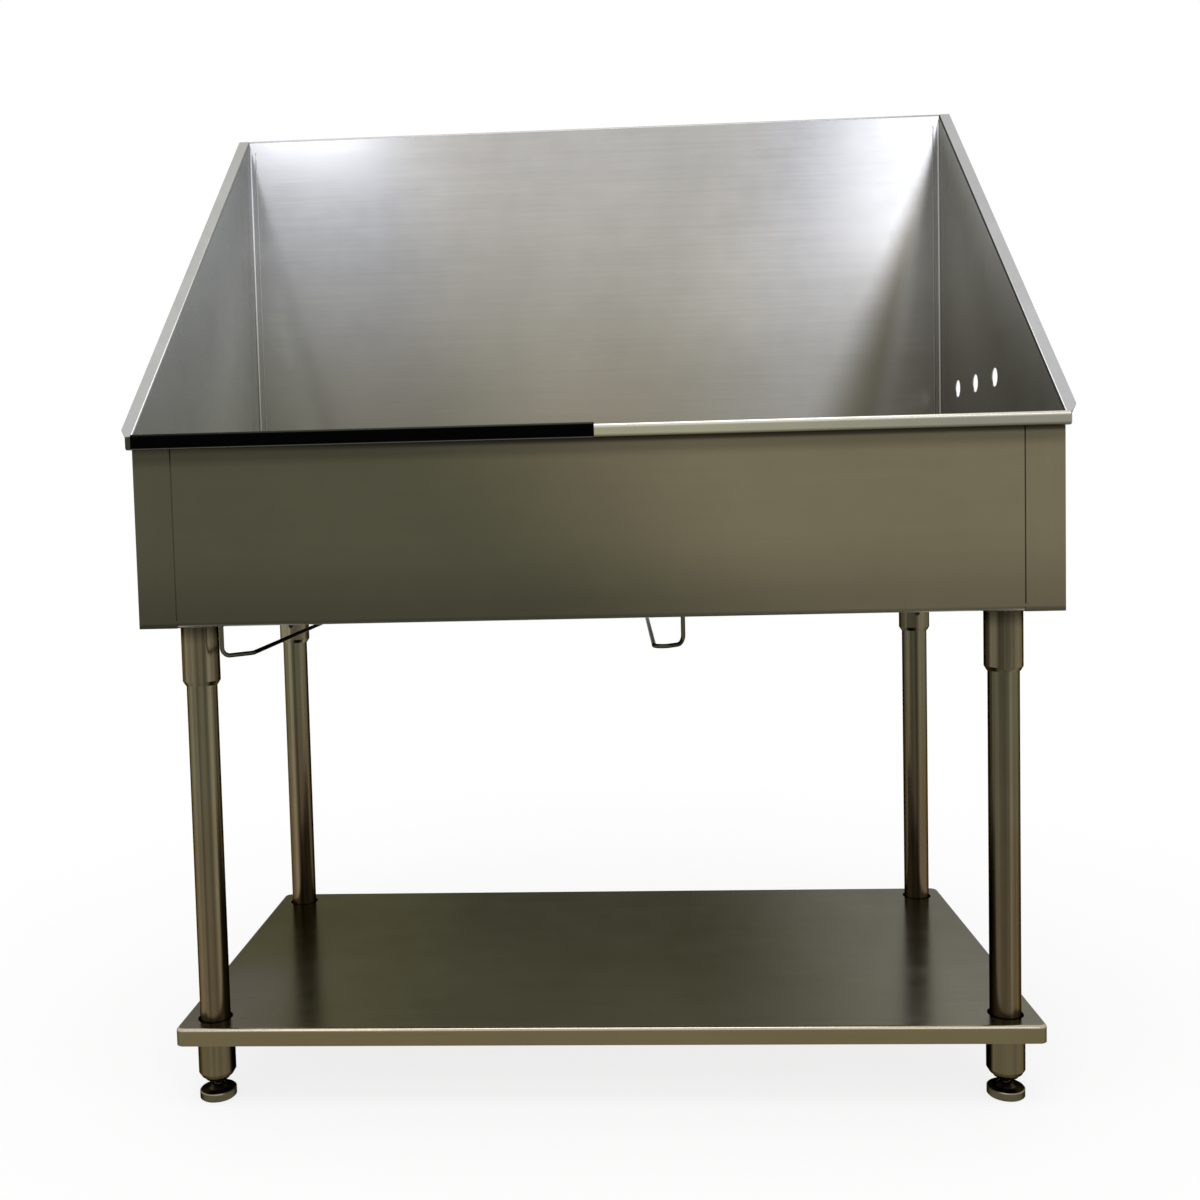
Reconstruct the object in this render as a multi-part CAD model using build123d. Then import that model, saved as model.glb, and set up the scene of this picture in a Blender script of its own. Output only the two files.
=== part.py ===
from build123d import *
from math import atan2, cos, pi, sin
import os

# Utility laundry sink in sheet stainless steel: a wide bowl with a tall back panel and sloping side
# splashes, on four tube legs with an undershelf and levelling feet.
# Millimetres. +X to the right of a person at the sink, +Y towards the wall, +Z up.
# Origin: on the floor, at the middle of the overall width and depth.

cut_margin = 1.0  # how far a cutter reaches past what it cuts

# Bowl
body_width = 1219.0  # across the outsides of the side panels
body_depth = 610.0  # apron face to the rear face of the back panel
bowl_bottom = 665.0  # lower edges of the side panels, above the floor
rim_top = 921.5
back_top = 1476.0
bowl_sheet = 1.5
apron_bend = 6.0  # inner radius of the bend between apron and bowl floor
back_bend = 12.0  # inner radius of the bend between bowl floor and back panel
top_bend = 2.0  # inner radius where the back panel's top edge turns to the rear
rear_return = 13.0  # how far that edge stands out behind the back panel
side_drop = 1.2  # how far the side panels reach below the underside of the bowl floor
front_return = 52.0  # the side panels' returns on the front corners
front_corner_bend = 2.0
back_return = 12.0  # the side panels' returns on the back corners
back_corner_bend = 3.0
flange_width = 17.0  # outward flange on the side panels' sloping edges
flange_bend = 1.5
flange_root = 8.0  # from the flange down to the side panel's own upper edge
flange_lap = 4.0  # how far the flange's strip reaches below that edge
dog_ear_across = 9.0
dog_ear_along = 12.0

# Tap holes in the right side panel
tap_hole_diameter = 28.6
tap_hole_pitch = 101.6
tap_hole_count = 3
tap_holes_setback = 399.0  # middle hole from the apron face
tap_hole_height = 70.5  # above the rim

# Rim and its trim
rim_height = 18.0
rim_projection = 12.5  # in front of the apron
rim_overhang = 3.0  # past each side panel
rim_wall = 1.2
rim_front_round = 4.0
rim_rear_round = 1.0
rim_cap_thickness = 1.5
rim_cap_chamfer = 0.5
trim_start = 8.0  # bare rim left of the trim
trim_length = 610.0
trim_front_wall = 2.2
trim_rear_wall = 2.0
trim_top_wall = 2.2
trim_round = 3.0
trim_rise = 0.3  # the trim's lower edges above the rim's underside

# Legs and their sockets
leg_diameter = 41.3
leg_wall = 1.5
leg_inset_side = 64.5  # leg centre from the outside of the side panel
leg_inset_end = 54.0  # leg centre from the apron face, and from the back panel's rear face
leg_bottom = 31.5
socket_diameter = 50.8
socket_length = 84.5
shelf_socket_length = 79.0
socket_fit = 0.08  # radial clearance between leg and socket
socket_cap = 8.0  # solid top of the sockets under the bowl
socket_taper_height = 6.0
socket_taper = 3.6  # radial, at the lower end
socket_flange_side = 64.0
socket_flange_thickness = 3.0
socket_flange_corner = 8.0
socket_mouth_depth = 8.0  # countersunk upper mouth of the sockets under the shelf
socket_mouth_lip = 1.2  # wall left at that mouth
screw_diameter = 8.0
screw_fit = 0.1
screw_length = 4.2
screw_height = 31.0  # set screw above the socket's lower end
screw_hex = 4.0
screw_hex_depth = 2.4
fixed_screw_gap = 0.05
sliding_screw_gap = 0.1

# Undershelf
shelf_top = 112.0
shelf_sheet = 1.2
shelf_margin_side = 44.5  # side edges of the shelf from the leg centres
shelf_margin_end = 42.0  # its front and rear edges from the leg centres
shelf_skirt = 24.0
shelf_return = 12.0
shelf_round = 5.0  # outer radius of its folds
shelf_corner = 12.0
shelf_hole_diameter = 47.6
stiffener_length = 1000.0
stiffener_crown = 60.0
stiffener_height = 18.0
stiffener_flange = 15.0
stiffener_bend = 1.2

# Feet
bush_length = 28.0
bush_fit = 0.05
bush_nose_height = 5.0
bush_nose_radius = 20.3
bush_nose_tip_radius = 16.5
stem_diameter = 12.0
stem_fit = 0.08  # radial, in the bush
stem_pad_fit = 0.05  # radial, in the pad
stem_length = 66.0
stem_end_height = 5.0  # lower end of the stem above the floor
thread_pitch = 1.75
thread_depth = 0.9
pad_diameter = 50.0
pad_edge_height = 11.5
pad_edge_chamfer = 1.2
pad_crown_diameter = 28.0
pad_crown_height = 13.0
pad_hub_diameter = 17.0
pad_hub_top = 17.5

# Waste outlet
drain_inset_side = 249.5  # from the outside of the right side panel
drain_inset_back = 140.0  # from the back panel's rear face
dish_radius = 105.0
dish_depth = 5.0
dish_seat_radius = 50.0
drain_shank_diameter = 60.3
drain_hole_gap = 0.6  # radial, between shank and bowl floor
drain_flange_radius = 45.0
drain_flange_height = 3.0
drain_flange_edge = 1.0  # its thickness at the rim
drain_flange_slope = 6.0
drain_cup_radius = 27.5
drain_cup_depth = 10.0  # below the floor's seat
drain_throat_radius = 20.0
drain_tail_radius = 24.13
drain_tail_drop = 38.0
gasket_radius = 42.0
gasket_thickness = 3.0
lock_nut_across_flats = 78.0
lock_nut_height = 9.0
shank_below_nut = 3.0
drain_part_fit = 0.3
strainer_fit = 0.5
strainer_wall = 1.2
strainer_height = 11.0
strainer_hole_diameter = 4.5
strainer_hole_spacing = 8.6  # along each ring of holes
strainer_ring_count = 3
strainer_ring_pitch = 6.3
strainer_inner_ring = 9.5  # radius of the innermost ring
knob_stem_diameter = 6.0
knob_diameter = 15.0
knob_height = 10.0
knob_cap_height = 4.0

# Wire runners under the bowl
wire_diameter = 6.0
wire_drop = 41.5  # underside of the bowl floor to the middle of the rod
wire_bend = 12.0
wire_rear_gap = 40.0  # rear upright from the back panel's rear face
wire_rear_step = 25.0  # from the rear upright forward to the straight run
left_wire_upright = (106.5, 17.0)  # from the left side panel's outside, and from the apron face
left_wire_run = (139.5, 50.0)
right_wire_upright = (728.5, 58.0)
right_wire_run = (688.5, 18.0)

# Places worked out from these
half_width = body_width / 2
depth_in_front = rim_projection + trim_front_wall
apron_y = (depth_in_front - body_depth - rear_return) / 2
back_y = apron_y + body_depth
apron_top = rim_top - rim_height
floor_under = bowl_bottom + side_drop
floor_top = floor_under + bowl_sheet
panel_inside = half_width - bowl_sheet
leg_x = half_width - leg_inset_side
leg_radius = leg_diameter / 2
leg_inner_radius = leg_radius - leg_wall
front_leg_y = apron_y + leg_inset_end
rear_leg_y = back_y - leg_inset_end
shelf_under = shelf_top - shelf_sheet
drain_x = half_width - drain_inset_side
drain_y = back_y - drain_inset_back
drain_seat = floor_top - dish_depth
corners = {
    "fl": (-leg_x, front_leg_y),
    "fr": (leg_x, front_leg_y),
    "rl": (-leg_x, rear_leg_y),
    "rr": (leg_x, rear_leg_y),
}


def bent_sheet(points, bend_radius, thickness, width, across):
    """A folded sheet: points along the middle of its thickness and width, inner bend radius."""
    bends = [radius + thickness / 2 for radius in bend_radius]
    path = FilletPolyline(*points, radius=bends)
    start = Plane(origin=path @ 0, x_dir=across, z_dir=path % 0)
    return sweep(start * Rectangle(width, thickness), path=path)


def box_between(low, high):
    """A box from its lowest corner to its highest."""
    size = [high[i] - low[i] for i in range(3)]
    return Pos(*low) * Box(*size, align=(Align.MIN, Align.MIN, Align.MIN))


def ring(outer_radius, inner_radius, low, high):
    """An upright tube between two heights."""
    tube = Cylinder(outer_radius, high - low) - Cylinder(inner_radius, high - low)
    return Pos(0, 0, (low + high) / 2) * tube


def standing_cylinder(radius, height):
    """A cylinder that stands on the origin."""
    return Cylinder(radius, height, align=(Align.CENTER, Align.CENTER, Align.MIN))


def turned(points):
    """A solid turned about Z from an outline of radius and height."""
    outline = make_face(Polyline(*[(r, 0, z) for r, z in points], close=True))
    return revolve(outline, axis=Axis.Z)


def both_sides(x_low, x_high, y_low, y_high, z_low, z_high):
    """The same box at the right and at the left."""
    right = box_between((x_low, y_low, z_low), (x_high, y_high, z_high))
    return [right, mirror(right, about=Plane.YZ)]


# Side panels ---------------------------------------------------------------------------------

slope_low = Vector(0, apron_y + bowl_sheet, rim_top)
slope_high = Vector(0, back_y, back_top)
slope_angle = atan2(slope_high.Z - slope_low.Z, slope_high.Y - slope_low.Y)
slope_up = Vector(0, cos(slope_angle), sin(slope_angle))
slope_normal = Vector(0, -sin(slope_angle), cos(slope_angle))
root_low = slope_low - slope_normal * flange_root
back_bend_start = back_y - bowl_sheet - back_corner_bend


def root_height(y):
    """Height of the side panel's own upper edge, under the flange's strip."""
    return root_low.Z + (y - root_low.Y) * slope_up.Z / slope_up.Y


back_return_top = root_height(back_bend_start)


def side_panel():
    """Right side panel: front corner return, wall, back corner return and sloping flange."""
    middle_z = (bowl_bottom + back_top) / 2
    front_mid = apron_y + bowl_sheet / 2
    back_mid = back_y - bowl_sheet / 2
    wall_mid = half_width - bowl_sheet / 2
    plan = [
        (half_width - front_return, front_mid, middle_z),
        (wall_mid, front_mid, middle_z),
        (wall_mid, back_mid, middle_z),
        (half_width - back_return, back_mid, middle_z),
    ]
    bends = [front_corner_bend, back_corner_bend]
    wall = bent_sheet(plan, bends, bowl_sheet, back_top - bowl_bottom, (0, 0, 1))
    behind_rim = slope_low.Y
    outline = Polyline(
        (0, apron_y - cut_margin, bowl_bottom),
        (0, back_y + cut_margin, bowl_bottom),
        (0, back_y + cut_margin, back_return_top),
        (0, back_bend_start, back_return_top),
        (0, behind_rim, root_height(behind_rim)),
        (0, behind_rim, apron_top),
        (0, apron_y - cut_margin, apron_top),
        close=True,
    )
    side_view = extrude(make_face(outline), amount=body_width, dir=(1, 0, 0))
    wall = wall & side_view
    middle = (slope_low + slope_high) * 0.5
    strip_points = [
        middle + Vector(wall_mid, 0, 0) - slope_normal * (flange_root + flange_lap),
        middle + Vector(wall_mid, 0, 0) - slope_normal * (bowl_sheet / 2),
        middle + Vector(half_width + flange_width, 0, 0) - slope_normal * (bowl_sheet / 2),
    ]
    over_length = 2 * (slope_high - slope_low).length
    strip = bent_sheet(strip_points, [flange_bend], bowl_sheet, over_length, slope_up)
    between = box_between((0, behind_rim, bowl_bottom), (body_width, back_y, back_top + flange_width))
    strip = strip & between
    outer_edge = half_width + flange_width
    ear = Polyline(
        (outer_edge + cut_margin, behind_rim - cut_margin),
        (outer_edge - dog_ear_across, behind_rim - cut_margin),
        (outer_edge - dog_ear_across, behind_rim),
        (outer_edge, behind_rim + dog_ear_along),
        (outer_edge + cut_margin, behind_rim + dog_ear_along),
        close=True,
    )
    strip = strip - Pos(0, 0, bowl_bottom) * extrude(make_face(ear), amount=back_top)
    return wall + strip


def tap_holes():
    """Cutters for the row of tap holes, through the right side panel."""
    cutter = Rot(0, 90, 0) * Cylinder(tap_hole_diameter / 2, tap_hole_diameter)
    first = tap_holes_setback - tap_hole_pitch * (tap_hole_count - 1) / 2
    places = [apron_y + first + tap_hole_pitch * i for i in range(tap_hole_count)]
    return [Pos(half_width, y, rim_top + tap_hole_height) * cutter for y in places]


plain_side = side_panel()
side_panel_right = plain_side - tap_holes()
side_panel_left = mirror(plain_side, about=Plane.YZ)


# Basin shell: front apron, bowl floor and back panel in one folded sheet ---------------------

def basin_shell():
    """The folded sheet, notched where the side panels' returns stand, with its dish and hole."""
    half_sheet = bowl_sheet / 2
    line = [
        (0, apron_y + half_sheet, apron_top),
        (0, apron_y + half_sheet, floor_under + half_sheet),
        (0, back_y - half_sheet, floor_under + half_sheet),
        (0, back_y - half_sheet, back_top - half_sheet),
        (0, back_y + rear_return, back_top - half_sheet),
    ]
    bends = [apron_bend, back_bend, top_bend]
    shell = bent_sheet(line, bends, bowl_sheet, 2 * panel_inside, (1, 0, 0))
    apron_zone = apron_y + apron_bend + bowl_sheet
    back_zone = back_y - back_bend - bowl_sheet
    seam_front = half_width - front_return
    seam_back = half_width - back_return
    shell = shell - both_sides(
        seam_front, half_width, apron_y - cut_margin, apron_zone, bowl_bottom, rim_top
    )
    shell = shell - both_sides(
        seam_back, half_width, back_zone, back_y + cut_margin, bowl_bottom, back_return_top
    )
    shell = shell + both_sides(
        seam_front, panel_inside, apron_y + bowl_sheet, apron_zone, floor_under, floor_top
    )
    shell = shell + both_sides(
        seam_back, panel_inside, back_zone, back_y - bowl_sheet, floor_under, floor_top
    )
    shell = shell - [plain_side, side_panel_left]
    hole_radius = drain_shank_diameter / 2 + drain_hole_gap
    seat_under = drain_seat - bowl_sheet
    dish = turned(
        [
            (dish_radius, floor_top),
            (dish_seat_radius, drain_seat),
            (hole_radius, drain_seat),
            (hole_radius, seat_under),
            (dish_seat_radius, seat_under),
            (dish_radius, floor_under),
        ]
    )
    opening = Pos(drain_x, drain_y, floor_top) * Cylinder(dish_radius, 2 * dish_depth)
    return shell - opening + Pos(drain_x, drain_y, 0) * dish


# Rim -----------------------------------------------------------------------------------------

rim_rear = apron_y + bowl_sheet
rim_depth = rim_projection + bowl_sheet
rim_half_length = half_width + rim_overhang


def rim_face(inset):
    """The rim's section, drawn in from its outside by the inset, seen along X."""
    section = Rectangle(rim_depth - 2 * inset, rim_height - 2 * inset)
    by_depth = section.vertices().group_by(Axis.X)
    section = fillet(by_depth[0], rim_front_round - inset)
    if rim_rear_round > inset:
        section = fillet(section.vertices().group_by(Axis.X)[-1], rim_rear_round - inset)
    return Plane.YZ * Pos(rim_rear - rim_depth / 2, rim_top - rim_height / 2) * section


def rim_length(face, start, end):
    """That section from one X to another."""
    return Pos(start, 0, 0) * extrude(face, amount=end - start, dir=(1, 0, 0))


def front_rim():
    """Hollow folded rim between its end caps."""
    end = rim_half_length - rim_cap_thickness
    return rim_length(rim_face(0), -end, end) - rim_length(rim_face(rim_wall), -end, end)


def rim_end_caps():
    """Two end plates, with eased outer edges."""
    inner = rim_half_length - rim_cap_thickness
    cap = rim_length(rim_face(0), inner, rim_half_length)
    outer_face = cap.faces().sort_by(Axis.X)[-1]
    cap = chamfer(outer_face.edges(), rim_cap_chamfer)
    return [cap, mirror(cap, about=Plane.YZ)]


def rim_trim():
    """Rubber strip of U section, pushed over the left half of the rim from above."""
    front = rim_rear - rim_depth - trim_front_wall
    rear = rim_rear + trim_rear_wall
    low = rim_top - rim_height + trim_rise
    high = rim_top + trim_top_wall
    outside = Rectangle(rear - front, high - low)
    outside = fillet(outside.vertices().group_by(Axis.Y)[-1], trim_round)
    section = Plane.YZ * Pos((front + rear) / 2, (low + high) / 2) * outside
    start = trim_start - rim_half_length
    end = start + trim_length
    return rim_length(section, start, end) - rim_length(rim_face(0), start - cut_margin, end + cut_margin)


# Legs, sockets and their screws --------------------------------------------------------------

bore_radius = leg_radius + socket_fit
socket_radius = socket_diameter / 2


def socket(top, length, closed):
    """Tube socket that hangs from a square flange; closed at the top or open right through."""
    low = top - length
    tip_radius = socket_radius - socket_taper
    body = turned(
        [
            (0, top),
            (socket_radius, top),
            (socket_radius, low + socket_taper_height),
            (tip_radius, low),
            (0, low),
        ]
    )
    flange = RectangleRounded(socket_flange_side, socket_flange_side, socket_flange_corner)
    body = body + Pos(0, 0, top - socket_flange_thickness) * extrude(flange, socket_flange_thickness)
    bore_top = top - socket_cap if closed else top
    body = body - Pos(0, 0, (low + bore_top) / 2) * Cylinder(bore_radius, bore_top - low)
    if not closed:
        mouth = turned(
            [
                (0, top),
                (socket_radius - socket_mouth_lip, top),
                (bore_radius, top - socket_mouth_depth),
                (0, top - socket_mouth_depth),
            ]
        )
        body = body - mouth
    hole = standing_cylinder(screw_diameter / 2 + screw_fit, socket_diameter)
    return body - Pos(0, 0, low + screw_height) * Rot(-90, 0, 0) * hole


def set_screw(socket_low, gap):
    """Socket set screw on +Y of a socket, its tip near the leg."""
    screw = standing_cylinder(screw_diameter / 2, screw_length)
    hexagon = extrude(RegularPolygon(screw_hex / 2, 6, major_radius=False), screw_hex_depth)
    screw = screw - Pos(0, 0, screw_length - screw_hex_depth) * hexagon
    return Pos(0, leg_radius + gap, socket_low + screw_height) * Rot(-90, 0, 0) * screw


def inward(corner):
    """Turns what points along +Y so that it faces the middle of the sink."""
    return Rot(0, 0, 0) if corner[0] == "f" else Rot(0, 0, 180)


def leg():
    """Leg tube from the bush up to the closed top of its upper socket."""
    return ring(leg_radius, leg_inner_radius, leg_bottom, floor_under - socket_cap)


# Feet ----------------------------------------------------------------------------------------

stem_radius = stem_diameter / 2
bush_low = leg_bottom - bush_nose_height


def foot_bush():
    """Threaded bush inside the leg's lower end, with a coned nose below it."""
    body = turned(
        [
            (0, bush_low),
            (bush_nose_tip_radius, bush_low),
            (bush_nose_radius, leg_bottom),
            (leg_inner_radius - bush_fit, leg_bottom),
            (leg_inner_radius - bush_fit, leg_bottom + bush_length),
            (0, leg_bottom + bush_length),
        ]
    )
    bore_length = bush_length + bush_nose_height
    bore = Cylinder(stem_radius + stem_fit, bore_length)
    return body - Pos(0, 0, bush_low + bore_length / 2) * bore


def foot_stem():
    """Screw stem; the thread is a row of ridges at the thread's pitch."""
    low = stem_end_height
    high = low + stem_length
    thread_low = pad_hub_top + thread_pitch
    turns = int((high - thread_low) / thread_pitch) - 1
    root = stem_radius - thread_depth
    outline = [(0, low), (stem_radius, low), (stem_radius, thread_low)]
    for i in range(turns):
        start = thread_low + i * thread_pitch
        outline.append((root, start + thread_pitch / 2))
        outline.append((stem_radius, start + thread_pitch))
    tip = stem_radius - thread_depth
    outline.append((tip, high))
    outline.append((0, high))
    return turned(outline)


def foot_pad():
    """Round pad that rises to a hub, which the stem's end stands in."""
    edge = pad_diameter / 2
    hub = pad_hub_diameter / 2
    pad = turned(
        [
            (0, 0),
            (edge - pad_edge_chamfer, 0),
            (edge, pad_edge_chamfer),
            (edge, pad_edge_height - pad_edge_chamfer),
            (edge - pad_edge_chamfer, pad_edge_height),
            (pad_crown_diameter / 2, pad_crown_height),
            (hub, pad_hub_top),
            (0, pad_hub_top),
        ]
    )
    depth = pad_hub_top - stem_end_height
    return pad - Pos(0, 0, stem_end_height + depth / 2) * Cylinder(stem_radius + stem_pad_fit, depth)


# Undershelf ----------------------------------------------------------------------------------

shelf_width = 2 * (leg_x + shelf_margin_side)
shelf_depth = rear_leg_y - front_leg_y + 2 * shelf_margin_end
shelf_y = (front_leg_y + rear_leg_y) / 2


def undershelf():
    """Pan with folded-down edges, a turned-in lower edge and four leg holes."""
    outer = extrude(RectangleRounded(shelf_width, shelf_depth, shelf_corner), shelf_skirt)
    outer = fillet(outer.faces().sort_by(Axis.Z)[-1].edges(), shelf_round)
    wall = 2 * shelf_sheet
    inner_corner = shelf_corner - shelf_sheet
    inside = RectangleRounded(shelf_width - wall, shelf_depth - wall, inner_corner)
    cavity = extrude(inside, shelf_skirt - wall)
    cavity = fillet(cavity.faces().sort_by(Axis.Z)[-1].edges(), shelf_round - shelf_sheet)
    lips = 2 * shelf_return
    mouth = extrude(Rectangle(shelf_width - lips, shelf_depth - lips), shelf_sheet)
    pan = outer - Pos(0, 0, shelf_sheet) * cavity - mouth
    pan = Pos(0, shelf_y, shelf_top - shelf_skirt) * pan
    hole = Cylinder(shelf_hole_diameter / 2, 2 * shelf_skirt)
    return pan - [Pos(x, y, shelf_top) * hole for x, y in corners.values()]


def shelf_stiffener():
    """Hat channel welded under the middle of the shelf sheet."""
    half_sheet = shelf_sheet / 2
    web_top = shelf_under - half_sheet
    web_low = shelf_under - stiffener_height + half_sheet
    half_crown = stiffener_crown / 2 - half_sheet
    half_all = stiffener_crown / 2 + stiffener_flange
    section = [
        (0, shelf_y - half_all, web_top),
        (0, shelf_y - half_crown, web_top),
        (0, shelf_y - half_crown, web_low),
        (0, shelf_y + half_crown, web_low),
        (0, shelf_y + half_crown, web_top),
        (0, shelf_y + half_all, web_top),
    ]
    bends = [stiffener_bend] * (len(section) - 2)
    return bent_sheet(section, bends, shelf_sheet, stiffener_length, (1, 0, 0))


# Waste outlet --------------------------------------------------------------------------------

shank_radius = drain_shank_diameter / 2
seat_under = drain_seat - bowl_sheet
gasket_low = seat_under - gasket_thickness
nut_low = gasket_low - lock_nut_height
shank_low = nut_low - shank_below_nut
tail_low = drain_seat - drain_tail_drop
cup_floor = drain_seat - drain_cup_depth


def drain_body():
    """Flanged outlet: cup for the strainer, threaded shank and outlet tail."""
    flange_top = drain_seat + drain_flange_height
    return turned(
        [
            (drain_cup_radius, flange_top),
            (drain_flange_radius - drain_flange_slope, flange_top),
            (drain_flange_radius, drain_seat + drain_flange_edge),
            (drain_flange_radius, drain_seat),
            (shank_radius, drain_seat),
            (shank_radius, shank_low),
            (drain_tail_radius, shank_low),
            (drain_tail_radius, tail_low),
            (drain_throat_radius, tail_low),
            (drain_throat_radius, cup_floor),
            (drain_cup_radius, cup_floor),
        ]
    )


def drain_gasket():
    """Flat ring between the bowl floor and the lock nut."""
    return ring(gasket_radius, shank_radius + drain_part_fit, gasket_low, seat_under)


def drain_lock_nut():
    """Thin hexagon nut on the shank."""
    hexagon = extrude(RegularPolygon(lock_nut_across_flats / 2, 6, major_radius=False), lock_nut_height)
    bore = Cylinder(shank_radius + drain_part_fit, lock_nut_height)
    return Pos(0, 0, nut_low) * (hexagon - Pos(0, 0, lock_nut_height / 2) * bore)


def strainer_basket():
    """Shallow perforated cup that stands in the outlet."""
    radius = drain_cup_radius - strainer_fit
    cup = turned(
        [
            (0, cup_floor),
            (radius, cup_floor),
            (radius, cup_floor + strainer_height),
            (radius - strainer_wall, cup_floor + strainer_height),
            (radius - strainer_wall, cup_floor + strainer_wall),
            (0, cup_floor + strainer_wall),
        ]
    )
    hole = Pos(0, 0, cup_floor) * Cylinder(strainer_hole_diameter / 2, strainer_height)
    holes = []
    for i in range(strainer_ring_count):
        ring_radius = strainer_inner_ring + i * strainer_ring_pitch
        count = int(2 * pi * ring_radius / strainer_hole_spacing)
        holes += [place * hole for place in PolarLocations(ring_radius, count)]
    return cup - holes


def strainer_knob():
    """Lifting knob riveted to the middle of the basket."""
    low = cup_floor + strainer_wall
    high = low + knob_height
    stem = knob_stem_diameter / 2
    cap = knob_diameter / 2
    return turned(
        [
            (0, low),
            (stem, low),
            (stem, high - knob_cap_height),
            (cap, high - knob_cap_height),
            (cap, high - knob_cap_height / 2),
            (cap - knob_cap_height / 2, high),
            (0, high),
        ]
    )


# Wire runners --------------------------------------------------------------------------------

def wire_runner(upright, run):
    """Round rod: down from the bowl, across, straight back, across and up again."""
    top = floor_under
    low = floor_under - wire_drop
    upright_x = upright[0] - half_width
    run_x = run[0] - half_width
    rear = back_y - wire_rear_gap
    points = [
        (upright_x, apron_y + upright[1], top),
        (upright_x, apron_y + upright[1], low),
        (run_x, apron_y + run[1], low),
        (run_x, rear - wire_rear_step, low),
        (upright_x, rear, low),
        (upright_x, rear, top),
    ]
    path = FilletPolyline(*points, radius=wire_bend)
    start = Plane(origin=path @ 0, z_dir=path % 0)
    return sweep(start * Circle(wire_diameter / 2), path=path)


# Writing the parts ---------------------------------------------------------------------------

def save(name, pieces):
    """One STEP file per sub-part; a list becomes a group of separate solids."""
    shape = Compound(children=list(pieces)) if isinstance(pieces, list) else pieces
    export_step(shape, f"parts/{name}.step")


def main():
    os.makedirs("parts", exist_ok=True)
    save("basin_shell", basin_shell())
    save("side_panel_left", side_panel_left)
    save("side_panel_right", side_panel_right)
    save("front_rim", front_rim())
    save("rim_end_caps", rim_end_caps())
    save("rim_trim", rim_trim())
    upper_screws = []
    shelf_screws = []
    for corner, (x, y) in corners.items():
        place = Pos(x, y, 0)
        turn = inward(corner)
        save(f"leg_socket_{corner}", place * turn * socket(floor_under, socket_length, closed=True))
        save(f"leg_{corner}", place * leg())
        shelf_socket = socket(shelf_under, shelf_socket_length, closed=False)
        save(f"shelf_socket_{corner}", place * turn * shelf_socket)
        save(f"foot_bush_{corner}", place * foot_bush())
        save(f"foot_stem_{corner}", place * foot_stem())
        save(f"foot_pad_{corner}", place * foot_pad())
        upper_screws.append(place * turn * set_screw(floor_under - socket_length, fixed_screw_gap))
        shelf_screws.append(place * turn * set_screw(shelf_under - shelf_socket_length, sliding_screw_gap))
    save("socket_screws", upper_screws)
    save("shelf_socket_screws", shelf_screws)
    save("undershelf", undershelf())
    save("shelf_stiffener", shelf_stiffener())
    outlet = Pos(drain_x, drain_y, 0)
    save("drain_body", outlet * drain_body())
    save("drain_gasket", outlet * drain_gasket())
    save("drain_lock_nut", outlet * drain_lock_nut())
    save("strainer_basket", outlet * strainer_basket())
    save("strainer_knob", outlet * strainer_knob())
    save("wire_runner_left", wire_runner(left_wire_upright, left_wire_run))
    save("wire_runner_right", wire_runner(right_wire_upright, right_wire_run))


main()
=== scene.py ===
from math import cos, pi, radians, sin, tau

import bpy
from mathutils import Matrix, Vector


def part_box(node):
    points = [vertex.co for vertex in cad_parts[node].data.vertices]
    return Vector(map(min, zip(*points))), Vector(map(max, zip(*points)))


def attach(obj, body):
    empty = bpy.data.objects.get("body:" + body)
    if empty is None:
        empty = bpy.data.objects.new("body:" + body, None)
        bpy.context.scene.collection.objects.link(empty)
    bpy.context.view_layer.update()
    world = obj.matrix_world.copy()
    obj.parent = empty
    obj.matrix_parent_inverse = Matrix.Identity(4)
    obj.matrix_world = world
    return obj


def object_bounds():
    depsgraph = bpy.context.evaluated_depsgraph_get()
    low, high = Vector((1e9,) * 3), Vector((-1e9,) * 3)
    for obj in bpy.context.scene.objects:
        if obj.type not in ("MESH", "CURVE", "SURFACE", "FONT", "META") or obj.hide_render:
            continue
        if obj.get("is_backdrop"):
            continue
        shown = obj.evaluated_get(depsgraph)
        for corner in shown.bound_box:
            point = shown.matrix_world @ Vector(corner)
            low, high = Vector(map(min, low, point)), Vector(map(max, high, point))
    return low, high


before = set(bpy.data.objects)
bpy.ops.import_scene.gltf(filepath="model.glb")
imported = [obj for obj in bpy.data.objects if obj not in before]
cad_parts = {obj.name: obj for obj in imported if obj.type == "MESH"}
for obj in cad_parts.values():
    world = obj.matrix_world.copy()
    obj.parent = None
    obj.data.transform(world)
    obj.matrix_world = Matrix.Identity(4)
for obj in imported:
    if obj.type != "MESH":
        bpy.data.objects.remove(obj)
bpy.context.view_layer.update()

# Bowl ------------------------------------------------------------------------------------------
# One long sheet of brushed stainless steel, folded into the apron, the bowl's floor and the back
# panel, with its top edge turned to the rear. The floor is pressed to a shallow dish at the outlet.


class Value:
    """A socket in a node tree; an expression on it adds Math nodes."""

    def __init__(self, tree, socket):
        self.tree = tree
        self.socket = socket

    def __add__(self, other):
        return self.tree.maths("ADD", self, other)

    def __radd__(self, other):
        return self.tree.maths("ADD", other, self)

    def __sub__(self, other):
        return self.tree.maths("SUBTRACT", self, other)

    def __rsub__(self, other):
        return self.tree.maths("SUBTRACT", other, self)

    def __mul__(self, other):
        return self.tree.maths("MULTIPLY", self, other)

    def __rmul__(self, other):
        return self.tree.maths("MULTIPLY", other, self)


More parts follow.
